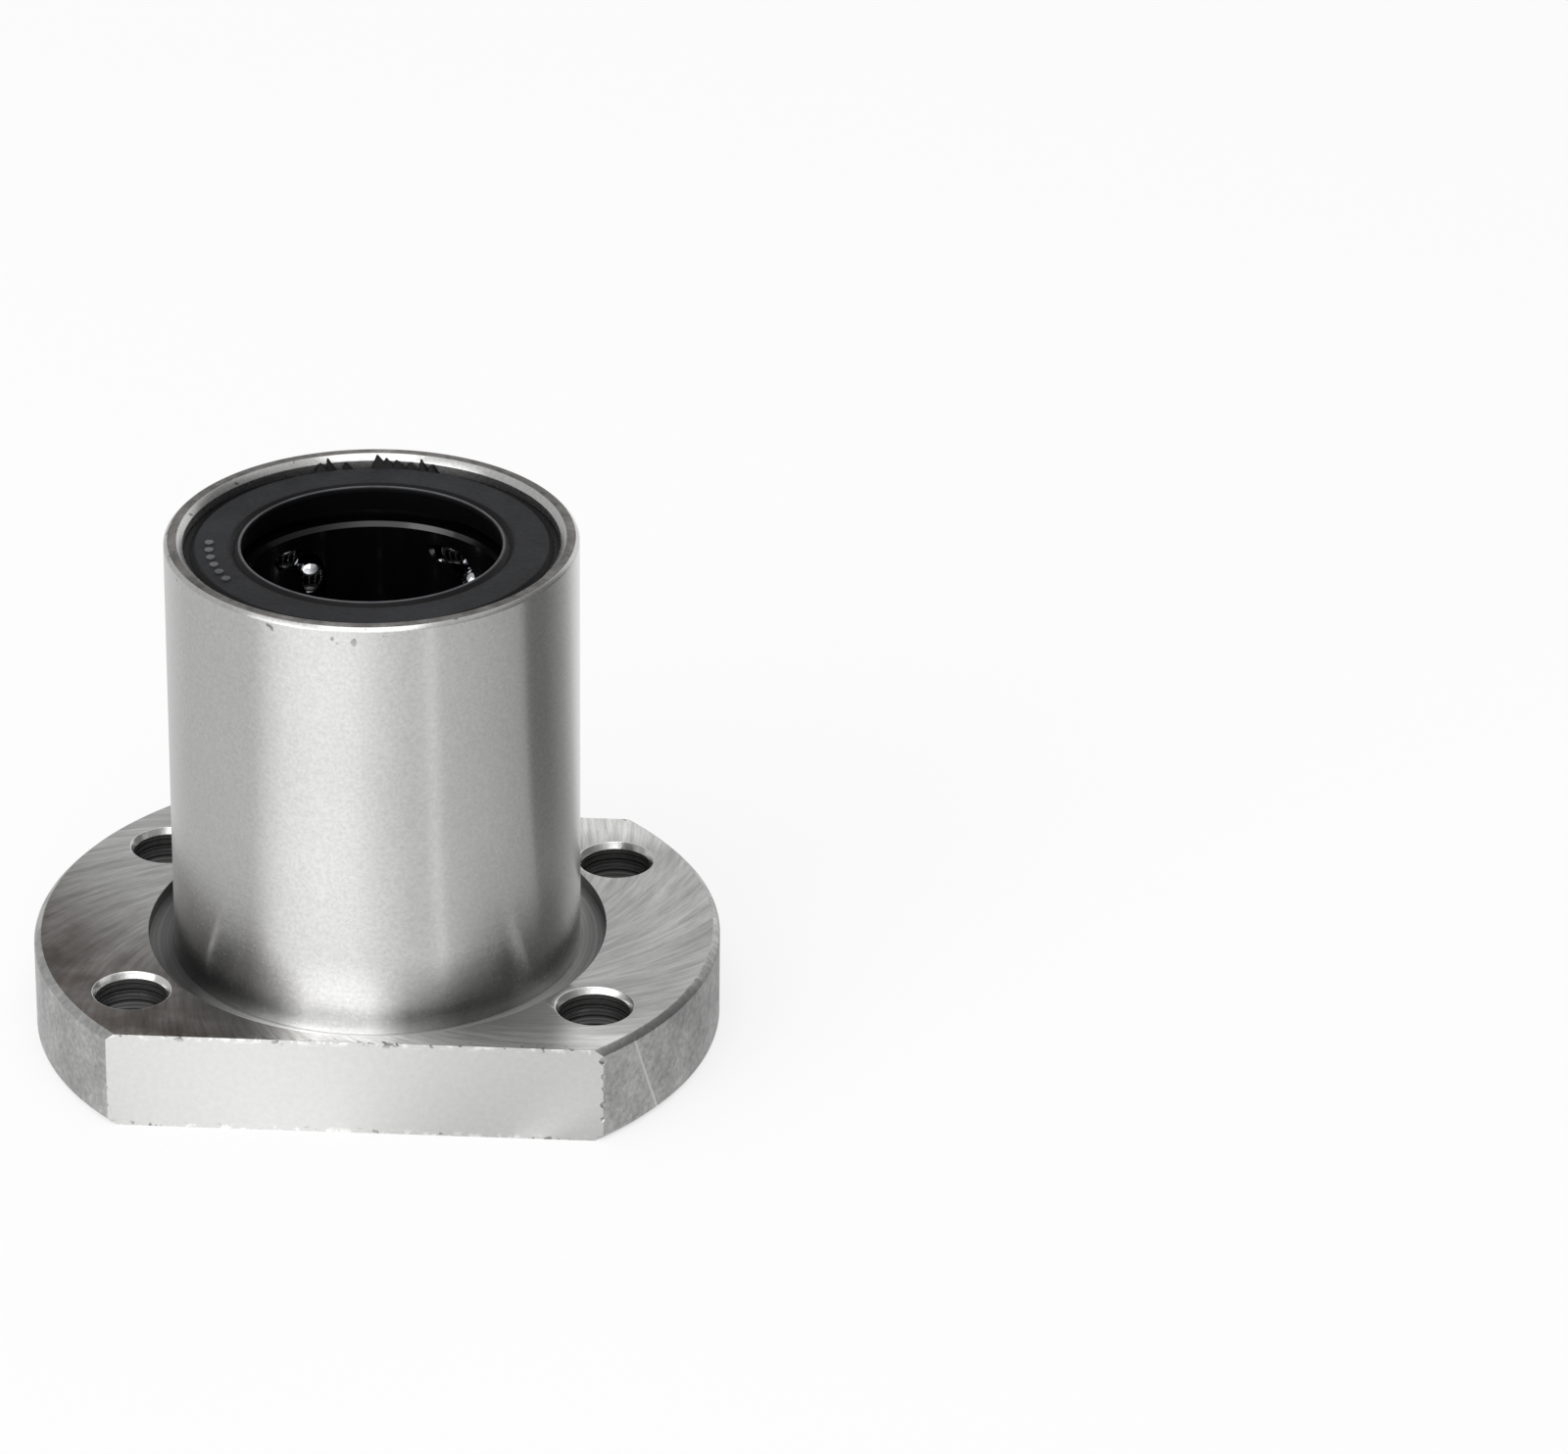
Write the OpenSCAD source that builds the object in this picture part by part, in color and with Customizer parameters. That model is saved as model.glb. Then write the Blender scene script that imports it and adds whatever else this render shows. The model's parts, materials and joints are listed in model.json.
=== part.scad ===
// Flanged linear ball bushing: a hardened sleeve with a flange pressed on it, a resin cage,
// closed circuits of steel balls, and a retaining ring and a rubber seal at each end.
// Millimetres. The axis is Z; z = 0 is the flange's front face, and the sleeve points up.

/* [Shaft and balls] */

// Diameter of the shaft that runs in the bushing
shaft_d = 20; // [16:0.5:25]
// Diameter of one steel ball
ball_d = 3.175; // [2.6:0.005:3.9]
// Extra length that each ball has in its row
ball_gap = 0.025; // [0.02:0.005:0.1]
// Play between a loaded ball and the raceway
race_play = 0.01; // [0.005:0.005:0.05]
// Angle of the first loaded row
cage_angle = 50; // [0:1:72]
// How far the balls stand from the middle of their travel, in ball pitches
ball_phase = 0.5; // [0:0.05:0.5]

/* [Sleeve] */

// Length of the sleeve
sleeve_len = 42; // [34:0.5:60]
// Wall of the sleeve at its two ends
sleeve_wall = 1.45; // [1.2:0.05:3]
// Play between the sleeve and the balls where they turn
end_play = 0.215; // [0.15:0.005:0.4]
// Extra radius of the groove that a return row runs in
groove_play = 0.1; // [0.06:0.01:0.15]
// How much smaller in radius the flange's seat is than the sleeve
seat_step = 0.2; // [0.1:0.05:0.4]
// Chamfer on the sleeve's outer edge
sleeve_chamfer = 0.3; // [0.1:0.05:0.4]
// Chamfer on the sleeve's bore at each end
mouth_chamfer = 0.45; // [0.2:0.05:0.6]

/* [Flange] */

// Width of the flange beyond the sleeve
flange_rim = 11; // [9:0.5:15]
// Width of metal between the sleeve and a flat
flat_wall = 3; // [2:0.25:6]
// Thickness of the flange
flange_t = 8; // [6:0.25:12]
// Distance from the round rim to a hole, along the flats
hole_from_rim = 9; // [7:0.25:12]
// Distance from a flat to a hole
hole_from_flat = 7; // [5.5:0.25:9]
// Diameter of a bolt hole
hole_d = 5.5; // [4.5:0.1:6.6]
// Diameter of a counterbore for a screw head
cbore_d = 9.5; // [8:0.1:10]
// Depth of a counterbore
cbore_deep = 5.1; // [3:0.1:6]
// Width of the recess round the sleeve in the rear face
recess_w = 2; // [1:0.1:3]
// Depth of that recess
recess_deep = 1; // [0.5:0.1:1.5]
// Chamfer on the round edges of the flange
flange_chamfer = 0.5; // [0.2:0.1:1]
// Radial size of the chamfer at the rear end of a bolt hole
hole_chamfer = 0.3; // [0.1:0.05:0.5]
// Depth of that chamfer
hole_chamfer_deep = 0.5; // [0.2:0.05:0.8]

/* [Cage] */

// Play between the shaft and the cage's bore
shaft_play = 0.38; // [0.3:0.01:0.5]
// Play between the cage and the sleeve
cage_play = 0.15; // [0.05:0.01:0.2]
// Play between a ball and its track in the cage
track_play = 0.03; // [0.02:0.01:0.06]
// Wall between a return row and the bore
return_floor = 0.75; // [0.5:0.05:0.9]
// Least wall between a turn and the end of the cage
cage_end_wall = 0.5; // [0.3:0.05:2]
// Width of the window that follows each turn
window_w = 1.5; // [1:0.1:1.8]
// How far round each turn the window goes
window_angle = 118; // [90:1:140]
// Radial size of the chamfer at the ends of the cage's bore
cage_chamfer = 0.2; // [0.1:0.05:0.8]

/* [Seals and retaining rings] */

// Distance from the sleeve's end to the seal's face
seal_inset = 0.7; // [0.5:0.05:1]
// Thickness of a seal
seal_t = 2.2; // [1.8:0.1:3]
// Play between the shaft and a seal's lip
lip_play = 0.04; // [0.02:0.01:0.06]
// Length of the lip's edge along the axis
lip_t = 0.35; // [0.2:0.05:0.5]
// How far the lip stands out of the seal's face
lip_rise = 0.15; // [0.05:0.05:0.3]
// Bevel on each side of the lip's edge
lip_bevel = 0.15; // [0.1:0.05:0.3]
// Width of the lip, from its edge to the groove that sets it apart
lip_w = 0.61; // [0.5:0.01:1]
// Depth of that groove
lip_groove_deep = 0.3; // [0.1:0.05:0.4]
// Width of the step at the seal's outer edge
seal_step_w = 0.95; // [0.5:0.05:1.2]
// Depth of that step
seal_step_deep = 0.45; // [0.2:0.05:0.5]
// Width of rubber between the groove and the steel core
core_cover = 0.75; // [0.5:0.05:1.2]
// Thickness of the steel core in a seal
core_t = 0.7; // [0.5:0.05:0.9]
// Thickness of a retaining ring
ring_t = 0.8; // [0.6:0.05:1]
// How far a retaining ring stands in from the sleeve's bore
ring_stand = 1.75; // [1:0.05:2.5]
// How far a retaining ring sits in its groove
ring_bite = 0.45; // [0.3:0.05:0.6]
// Angle between the open ends of a retaining ring
ring_gap_angle = 26; // [10:1:40]

/* [Hidden] */

$fn = 96;
over = 1;                                   // how far a cutting solid runs past what it cuts
fit = 0.05;                                 // play beside a piece that is only located
circuits = 5;                               // closed ball circuits; NODES names a set for each
step_angle = 360 / circuits;

// Balls: centres of the rows and size of the turns. The two balls in a turn lie a quarter
// turn apart, so they touch as nearly as two in a row.
ball_r = ball_d / 2;
pitch = ball_d + ball_gap;
turn_r = pitch / sqrt(2);
turn_balls = 2;
load_r = shaft_d / 2 + ball_r;
track_r = ball_r + track_play;
bore_r = shaft_d / 2 + shaft_play;
return_r = bore_r + return_floor + track_r;
between = acos((pow(load_r, 2) + pow(return_r, 2) - pow(2 * turn_r, 2)) / (2 * load_r * return_r));
chord_angle = atan2(return_r * sin(between), return_r * cos(between) - load_r);

// Lengths: seal, retaining ring and cage follow one another in from each end, and the rows
// get as many balls as the cage has room for.
mid_z = sleeve_len / 2;
ring_z = seal_inset + seal_t + fit;
cage_inset = ring_z + ring_t + fit;
cage_half = mid_z - cage_inset;
row_balls = floor(2 * (cage_half - cage_end_wall - track_r - turn_r) / pitch);
row_len = row_balls * pitch;

// Sleeve: the raceway starts one ball's radius inside each turn, behind a 45 degree lead-in.
race_r = shaft_d / 2 + ball_d + race_play;
race_half = row_len / 2 - ball_r;
end_r = return_r + ball_r + end_play;
lead_in = end_r - race_r;
groove_r = ball_r + groove_play;
sleeve_r = end_r + sleeve_wall;
seat_r = sleeve_r - seat_step;
ring_r = end_r + ring_bite;
ring_groove_z = ring_z - fit;
ring_groove_w = ring_t + 2 * fit;

// Flange
flange_r = sleeve_r + flange_rim;
flat_y = sleeve_r + flat_wall;
recess_r = sleeve_r + recess_w;
seat_len = flange_t - recess_deep;
hole_x = flange_r - hole_from_rim;
hole_y = flat_y - hole_from_flat;
chamfer_flare = hole_chamfer * (hole_chamfer_deep + over) / hole_chamfer_deep;

// Cage
cage_mid_r = race_r - cage_play;
cage_end_r = end_r - cage_play;
cage_step = race_half + cage_play * (sqrt(2) - 1);
slot_up = return_r;                         // a track is open this far outwards

// Seal
rubber_r = end_r - fit;
lip_r = shaft_d / 2 + lip_play;
lip_z = lip_bevel - lip_rise;
lip_groove_r = lip_r + lip_w;
core_bore_r = lip_groove_r + core_cover;
core_z = (seal_t - core_t) / 2;

// Puts what is drawn at the front end of the sleeve at its rear end.
module at_rear_end() {
    translate([0, 0, sleeve_len]) mirror([0, 0, 1]) children();
}

// A circuit's own frame: origin half way along its loaded row, x to the return row,
// y along the sleeve, z outwards.
module in_circuit(n) {
    rotate([0, 0, cage_angle + (n - 1) * step_angle])
        translate([load_r, 0, mid_z])
            rotate([90, 0, chord_angle])
                children();
}

// The rear turn's frame, from the circuit's: origin at the centre of the turn.
module in_rear_turn() {
    translate([turn_r, row_len / 2, 0]) children();
}

module outer_sleeve() {
    color([0.72, 0.72, 0.72])
    difference() {
        rotate_extrude() polygon([
            [end_r + mouth_chamfer, 0], [seat_r, 0], [seat_r, seat_len],
            [sleeve_r, seat_len], [sleeve_r, sleeve_len - sleeve_chamfer],
            [sleeve_r - sleeve_chamfer, sleeve_len], [end_r + mouth_chamfer, sleeve_len],
            [end_r, sleeve_len - mouth_chamfer],
            [end_r, mid_z + race_half + lead_in], [race_r, mid_z + race_half],
            [race_r, mid_z - race_half], [end_r, mid_z - race_half - lead_in],
            [end_r, mouth_chamfer]]);
        ring_groove();
        at_rear_end() ring_groove();
        for (n = [1:circuits])
            in_circuit(n) translate([2 * turn_r, 0, 0]) rotate([90, 0, 0])
                cylinder(r = groove_r, h = row_len, center = true);
    }
}
module ring_groove() {
    translate([0, 0, ring_groove_z]) cylinder(r = ring_r + fit, h = ring_groove_w);
}

module flange() {
    color([0.68, 0.68, 0.67])
    difference() {
        intersection() {
            rotate_extrude() polygon([
                [seat_r, 0], [flange_r - flange_chamfer, 0], [flange_r, flange_chamfer],
                [flange_r, flange_t - flange_chamfer], [flange_r - flange_chamfer, flange_t],
                [recess_r, flange_t], [recess_r, seat_len], [seat_r, seat_len]]);
            translate([0, 0, flange_t / 2])
                cube([2 * flange_r + over, 2 * flat_y, flange_t + over], center = true);
        }
        for (x = [-hole_x, hole_x], y = [-hole_y, hole_y]) translate([x, y, 0]) {
            translate([0, 0, -over]) cylinder(d = hole_d, h = flange_t + 2 * over);
            translate([0, 0, -over]) cylinder(d = cbore_d, h = cbore_deep + over);
            translate([0, 0, flange_t - hole_chamfer_deep])
                cylinder(r1 = hole_d / 2, r2 = hole_d / 2 + chamfer_flare, h = hole_chamfer_deep + over);
        }
    }
}

// Section of a ball track, open outwards.
module track_section() {
    circle(r = track_r);
    translate([-track_r, 0]) square([2 * track_r, slot_up]);
}

// One closed track with the window that follows its two turns, in the circuit's frame.
module track() {
    for (x = [0, 2 * turn_r]) translate([x, 0, 0])
        rotate([90, 0, 0]) linear_extrude(row_len, center = true) track_section();
    for (m = [0, 1]) mirror([0, m, 0]) in_rear_turn() {
        rotate_extrude(angle = 180) translate([turn_r, 0]) track_section();
        rotate([0, 0, 180 - window_angle]) rotate_extrude(angle = window_angle)
            translate([turn_r - window_w / 2, -ball_d]) square([window_w, ball_d]);
    }
}

module ball_cage() {
    color([0.06, 0.06, 0.065])
    difference() {
        translate([0, 0, mid_z]) rotate_extrude() polygon([
            [bore_r, 2 * cage_chamfer - cage_half], [bore_r + cage_chamfer, -cage_half],
            [cage_end_r, -cage_half], [cage_end_r, -cage_step - (cage_end_r - cage_mid_r)],
            [cage_mid_r, -cage_step], [cage_mid_r, cage_step],
            [cage_end_r, cage_step + (cage_end_r - cage_mid_r)], [cage_end_r, cage_half],
            [bore_r + cage_chamfer, cage_half], [bore_r, cage_half - 2 * cage_chamfer]]);
        for (n = [1:circuits]) in_circuit(n) track();
    }
}

module retaining_ring() {
    translate([0, 0, ring_z]) rotate([0, 0, cage_angle + ring_gap_angle / 2])
        rotate_extrude(angle = 360 - ring_gap_angle) translate([end_r - ring_stand, 0])
            square([ring_stand + ring_bite, ring_t]);
}
module retaining_ring_front() {
    color([0.45, 0.45, 0.46]) retaining_ring();
}
module retaining_ring_rear() {
    color([0.45, 0.45, 0.46]) at_rear_end() retaining_ring();
}

// A seal's rubber: a flat face with a step round it, a lip set apart by a groove, and a slot
// for the core in its outer edge.
module seal() {
    translate([0, 0, seal_inset]) rotate_extrude() polygon([
        [lip_r, lip_z], [lip_r + lip_bevel, -lip_rise],
        [lip_groove_r, lip_groove_deep], [lip_groove_r + lip_groove_deep, 0],
        [end_r - seal_step_w, 0], [end_r - seal_step_w + seal_step_deep, seal_step_deep],
        [rubber_r, seal_step_deep], [rubber_r, core_z], [core_bore_r, core_z],
        [core_bore_r, core_z + core_t], [rubber_r, core_z + core_t], [rubber_r, seal_t],
        [lip_groove_r, seal_t], [lip_r + lip_bevel, lip_z + lip_t + lip_bevel],
        [lip_r, lip_z + lip_t]]);
}
module seal_front() {
    color([0.17, 0.18, 0.19]) seal();
}
module seal_rear() {
    color([0.17, 0.18, 0.19]) at_rear_end() seal();
}

module seal_core() {
    translate([0, 0, seal_inset + core_z]) difference() {
        cylinder(r = end_r, h = core_t);
        translate([0, 0, -over]) cylinder(r = core_bore_r, h = core_t + 2 * over);
    }
}
module seal_core_front() {
    color([0.5, 0.5, 0.52]) seal_core();
}
module seal_core_rear() {
    color([0.5, 0.5, 0.52]) at_rear_end() seal_core();
}

// Balls of a straight row, moved along it by a share of a pitch.
module row_of_balls(phase) {
    for (k = [0:row_balls - 1])
        translate([0, (k - (row_balls - 1) / 2 + phase) * pitch, 0]) sphere(d = ball_d);
}
module load_balls(n) {
    color([0.8, 0.8, 0.82]) in_circuit(n) row_of_balls(ball_phase);
}
module return_balls(n) {
    color([0.8, 0.8, 0.82]) in_circuit(n) translate([2 * turn_r, 0, 0]) row_of_balls(-ball_phase);
}

// Balls of the rear turn, counted from the return row and moved on by a share of their spacing.
module balls_in_turn(phase) {
    in_rear_turn() for (k = [1:turn_balls])
        rotate([0, 0, (k - 0.5 + phase) * 180 / turn_balls]) translate([turn_r, 0, 0]) sphere(d = ball_d);
}
module front_turn_balls(n) {
    color([0.8, 0.8, 0.82]) in_circuit(n) mirror([0, 1, 0]) balls_in_turn(ball_phase);
}
module rear_turn_balls(n) {
    color([0.8, 0.8, 0.82]) in_circuit(n) balls_in_turn(-ball_phase);
}

outer_sleeve();
flange();
ball_cage();
retaining_ring_front();
retaining_ring_rear();
seal_front();
seal_rear();
seal_core_front();
seal_core_rear();
load_balls(1);  // load_balls_1
load_balls(2);  // load_balls_2
load_balls(3);  // load_balls_3
load_balls(4);  // load_balls_4
load_balls(5);  // load_balls_5
return_balls(1);  // return_balls_1
return_balls(2);  // return_balls_2
return_balls(3);  // return_balls_3
return_balls(4);  // return_balls_4
return_balls(5);  // return_balls_5
front_turn_balls(1);  // front_turn_balls_1
front_turn_balls(2);  // front_turn_balls_2
front_turn_balls(3);  // front_turn_balls_3
front_turn_balls(4);  // front_turn_balls_4
front_turn_balls(5);  // front_turn_balls_5
rear_turn_balls(1);  // rear_turn_balls_1
rear_turn_balls(2);  // rear_turn_balls_2
rear_turn_balls(3);  // rear_turn_balls_3
rear_turn_balls(4);  // rear_turn_balls_4
rear_turn_balls(5);  // rear_turn_balls_5
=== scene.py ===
"""Flanged linear ball bushing: turned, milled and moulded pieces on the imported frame, in a small studio."""

import json
import math
import random

import bpy
from mathutils import Matrix, Vector


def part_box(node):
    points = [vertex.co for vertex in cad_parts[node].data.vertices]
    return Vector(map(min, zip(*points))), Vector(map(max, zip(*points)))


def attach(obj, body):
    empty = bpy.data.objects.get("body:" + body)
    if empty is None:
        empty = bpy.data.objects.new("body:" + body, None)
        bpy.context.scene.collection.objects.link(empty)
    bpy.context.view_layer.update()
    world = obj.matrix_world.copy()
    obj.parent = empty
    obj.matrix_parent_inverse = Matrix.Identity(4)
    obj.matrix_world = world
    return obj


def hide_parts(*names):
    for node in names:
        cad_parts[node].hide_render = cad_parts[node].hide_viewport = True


bl_info = {
    "name": "Flanged linear ball bushing",
    "version": (1, 0, 0),
    "blender": (4, 5, 0),
    "location": "View3D > Sidebar > Bushing",
    "description": "Models and finishes a flanged linear ball bushing round its CAD frame",
    "category": "Object",
}

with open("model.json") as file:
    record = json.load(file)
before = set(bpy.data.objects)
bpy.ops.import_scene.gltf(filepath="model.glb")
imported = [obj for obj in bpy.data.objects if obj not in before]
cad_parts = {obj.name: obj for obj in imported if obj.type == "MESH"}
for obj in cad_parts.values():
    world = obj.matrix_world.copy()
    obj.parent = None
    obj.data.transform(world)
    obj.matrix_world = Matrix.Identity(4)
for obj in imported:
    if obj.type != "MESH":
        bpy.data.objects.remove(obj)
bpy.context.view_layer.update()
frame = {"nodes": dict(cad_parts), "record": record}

MM = 0.001
MOUNTS = {m["name"]: m for m in frame["record"]["mounts"]}
SLEEVE_R = MOUNTS["sleeve_od"]["dims"]["r_mm"] * MM
LIP_R = MOUNTS["shaft_bore"]["dims"]["r_mm"] * MM
HOLE_R = MOUNTS["flange_bolts"]["dims"]["hole_r_mm"] * MM
HOLE_X = MOUNTS["flange_bolts"]["dims"]["spacing_x_mm"] / 2 * MM
HOLE_Y = MOUNTS["flange_bolts"]["dims"]["spacing_y_mm"] / 2 * MM
SLEEVE_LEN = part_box("outer_sleeve")[1].z
FLANGE_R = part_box("flange")[1].x
FLAT_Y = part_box("flange")[1].y
FLANGE_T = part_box("flange")[1].z
RING_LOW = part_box("retaining_ring_front")[0].z
RING_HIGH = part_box("retaining_ring_front")[1].z
RING_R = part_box("retaining_ring_front")[1].x
RUBBER_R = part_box("seal_front")[1].x
CORE_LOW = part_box("seal_core_front")[0].z
CORE_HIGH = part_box("seal_core_front")[1].z
BORE_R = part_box("seal_core_front")[1].x
BALL_R = (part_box("load_balls_1")[1].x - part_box("load_balls_1")[0].x) / 2
LIP_BEVEL = 0.15 * MM
FACE_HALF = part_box("seal_rear")[1].z - SLEEVE_LEN / 2 - LIP_BEVEL
POCKET_R = 4.75 * MM
POCKET_DEPTH = 5.1 * MM
PIP_CIRCLE_R = 12.5 * MM
FLASH_CIRCLE_R = 13.9 * MM
CIRCUITS = sum(name.startswith("load_balls") for name in frame["nodes"])


def linear(hex_colour):
    """The linear red, green, blue and alpha of an sRGB hex colour."""
    parts = [int(hex_colour[i:i + 2], 16) / 255 for i in (1, 3, 5)]
    return [p / 12.92 if p <= 0.04045 else ((p + 0.055) / 1.055) ** 2.4 for p in parts] + [1.0]


def length(name, description, default, low=0.0, high=0.1):
    """A property that holds a length in metres."""
    return bpy.props.FloatProperty(name=name, description=description, default=default, min=low, max=high,
                                   unit="LENGTH", subtype="DISTANCE", precision=5)


def colour(name, description, default):
    """A property that holds a colour."""
    return bpy.props.FloatVectorProperty(name=name, description=description, default=linear(default), size=4,
                                         min=0.0, max=1.0, subtype="COLOR")


class BushingSizes(bpy.types.PropertyGroup):
    """Sizes of the modelled pieces; those that mate follow the frame."""

    sleeve_radius: length("Sleeve radius", "Outer radius of the ground sleeve", SLEEVE_R)
    sleeve_length: length("Sleeve length", "Length of the sleeve along its axis", SLEEVE_LEN)
    seat_radius: length("Seat radius", "Radius of the sleeve inside the flange", SLEEVE_R - 0.2 * MM)
    bore_radius: length("Bore radius", "Bore of the sleeve at its two ends", BORE_R)
    raceway_radius: length("Raceway radius", "Bore of the sleeve where the balls carry load", 13.185 * MM)
    raceway_half: length("Raceway half length", "Half the length of the raceway", 11.2125 * MM)
    groove_radius: length("Return groove radius", "Radius of the groove behind each return row", BALL_R + 0.1 * MM)
    row_length: length("Row length", "Length of a straight row of balls", 25.6 * MM)
    sleeve_chamfer: length("Sleeve chamfer", "Chamfer on the sleeve's outer edge", 0.3 * MM)
    mouth_chamfer: length("Mouth chamfer", "Chamfer on the sleeve's bore", 0.45 * MM)
    flange_radius: length("Flange radius", "Radius of the flange's round sides", FLANGE_R)
    flat_distance: length("Flat distance", "Distance from the axis to each flat", FLAT_Y)
    flange_thickness: length("Flange thickness", "Thickness of the flange", FLANGE_T)
    flange_chamfer: length("Flange chamfer", "Chamfer on the flange's round edges", 0.5 * MM)
    recess_radius: length("Recess radius", "Outer radius of the recess round the sleeve", SLEEVE_R + 2 * MM)
    recess_depth: length("Recess depth", "Depth of that recess", 1 * MM)
    counterbore_radius: length("Counterbore radius", "Radius of each screw head pocket", POCKET_R)
    counterbore_depth: length("Counterbore depth", "Depth of each screw head pocket", POCKET_DEPTH)
    hole_chamfer: length("Hole chamfer", "Radial size of the chamfer on a bolt hole", 0.3 * MM)
    hole_chamfer_depth: length("Hole chamfer depth", "Depth of the chamfer on a bolt hole", 0.5 * MM)
    edge_round: length("Edge round", "Round that deburring leaves on a steel edge", 0.05 * MM)
    nick_depth: length("Nick depth", "Deepest nick along the milled edges", 0.13 * MM)
    seal_inset: length("Seal inset", "Distance from the sleeve's end to the seal's face", 0.7 * MM)
    seal_thickness: length("Seal thickness", "Thickness of the rubber seal", 2.2 * MM)
    lip_width: length("Lip width", "Width of the lip, from its edge to the groove beside it", 0.61 * MM)
    lip_bevel: length("Lip bevel", "Bevel on each side of the lip's edge", LIP_BEVEL)
    lip_edge: length("Lip edge", "Length of the lip's edge along the axis", 0.35 * MM)
    lip_groove: length("Lip groove", "Depth and slope of the groove beside the lip", 0.3 * MM)
    step_width: length("Step width", "Width of the step at the seal's outer edge", 0.95 * MM)
    step_depth: length("Step depth", "Depth of that step", 0.45 * MM)
    core_cover: length("Core cover", "Width of rubber between the groove and the steel core", 0.75 * MM)
    rubber_round: length("Rubber round", "Round on the seal's moulded edges", 0.05 * MM)


class BushingFinishes(bpy.types.PropertyGroup):
    """Colours of the finishes."""

    sleeve_steel: colour("Sleeve steel", "Hardened steel, ground between centres", "#cfcfce")
    flange_steel: colour("Flange steel", "Carbon steel, freshly milled", "#d3d3d2")
    flange_stain: colour("Flange stain", "Thin brown film that coolant leaves on ground steel", "#665e58")
    ball_steel: colour("Ball steel", "Polished bearing steel", "#c3c4c8")
    ring_steel: colour("Ring steel", "Oiled spring steel", "#5c5c5f")
    cage_resin: colour("Cage resin", "Black moulded resin", "#08080a")
    seal_rubber: colour("Seal rubber", "Blue-black nitrile rubber", "#141518")
    # Pale rubber for the lip's edge and the pips: wear, with a painted highlight.
    rubber_wear_and_sheen: colour("Rubber wear", "Nitrile rubber where it is rubbed", "#626266")
    paper: colour("Paper", "Matt white paper that the bushing stands on", "#f4f4f4")


def pick(*pieces):
    """Selects these pieces alone and makes the first of them active."""
    bpy.ops.object.select_all(action="DESELECT")
    for piece in pieces:
        piece.select_set(True)
    bpy.context.view_layer.objects.active = pieces[0]


def edit(piece):
    """Opens one piece in edit mode with all of it selected."""
    pick(piece)
    bpy.ops.object.mode_set(mode="EDIT")
    bpy.ops.mesh.select_all(action="SELECT")


def leave_edit():
    bpy.ops.object.mode_set(mode="OBJECT")


def settle(piece):
    """Puts a piece's place, turn and scale into its mesh, so that its object sits at the origin."""
    pick(piece)
    bpy.ops.object.transform_apply(location=True, rotation=True, scale=True)


def apply_modifier(piece, kind, **settings):
    """Adds a modifier with its settings and applies it."""
    modifier = piece.modifiers.new(kind.title(), kind)
    for name, value in settings.items():
        setattr(modifier, name, value)
    pick(piece)
    bpy.ops.object.modifier_apply(modifier=modifier.name)


def turned(name, profile, segments, solid=False):
    """A piece turned about Z. A circle is extruded through the profile's corners (radius, height).
    A ring's profile closes on itself; a solid one is capped at both ends."""
    bpy.ops.object.select_all(action="DESELECT")
    radius, height = profile[0]
    bpy.ops.mesh.primitive_circle_add(vertices=segments, radius=radius, location=(0, 0, height),
                                      fill_type="NGON" if solid else "NOTHING")
    piece = bpy.context.object
    piece.name = piece.data.name = name
    edit(piece)
    corners = profile[1:] if solid else profile[1:] + profile[:1]
    for next_radius, next_height in corners:
        bpy.ops.mesh.extrude_region_move(TRANSFORM_OT_translate={"value": (0, 0, next_height - height)})
        grow = next_radius / radius
        bpy.ops.transform.resize(value=(grow, grow, 1), center_override=(0, 0, next_height))
        radius, height = next_radius, next_height
    bpy.ops.mesh.select_all(action="SELECT")
    bpy.ops.mesh.remove_doubles(threshold=1e-6)
    bpy.ops.mesh.normals_make_consistent(inside=False)
    leave_edit()
    settle(piece)
    return piece


def cut(piece, cutter):
    """Takes the cutter out of the piece and removes the cutter."""
    apply_modifier(piece, "BOOLEAN", operation="DIFFERENCE", solver="EXACT", object=cutter)
    bpy.data.objects.remove(cutter)


def merge_near(piece):
    """Merges corners less than 0.02 mm apart, which a cut leaves and a bevel can't round."""
    edit(piece)
    bpy.ops.mesh.remove_doubles(threshold=0.02 * MM)
    leave_edit()


def round_edges(piece, width):
    """Rounds every edge sharper than 28 degrees."""
    apply_modifier(piece, "BEVEL", width=width, segments=2, limit_method="ANGLE",
                   angle_limit=math.radians(28), use_clamp_overlap=False, harden_normals=False)


def shade(piece):
    """Shades the curved faces smooth and keeps the flat ones flat."""
    pick(piece)
    bpy.ops.object.shade_smooth_by_angle(angle=math.radians(40))
    apply_modifier(piece, "WEIGHTED_NORMAL", keep_sharp=True, weight=80)


def join(piece, others):
    """Joins the others to a piece."""
    pick(piece, *others)
    bpy.ops.object.join()


def on_circle(radius, degrees, height):
    """The point that far round a circle about Z."""
    return radius * math.cos(math.radians(degrees)), radius * math.sin(math.radians(degrees)), height


def copy_of(piece, name):
    """A copy with its own mesh."""
    twin = piece.copy()
    twin.data = piece.data.copy()
    twin.name = twin.data.name = name
    bpy.context.scene.collection.objects.link(twin)
    return twin


def put_in_place(piece, node, material):
    """Gives a modelled piece its finish and lets it stand for its CAD node."""
    piece.data.materials.clear()
    piece.data.materials.append(material)
    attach(piece, "bushing")
    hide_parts(node)


def finish_node(node, material):
    """Gives a CAD node its finish."""
    mesh = frame["nodes"][node].data
    mesh.materials.clear()
    mesh.materials.append(material)
    mesh.polygons.foreach_set("material_index", [0] * len(mesh.polygons))


# Settings of a mix node that blends two colours, and of one that multiplies them.
BLEND = {"data_type": "RGBA", "out": "Result"}
TINT = {"blend_type": "MULTIPLY", **BLEND}


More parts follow.
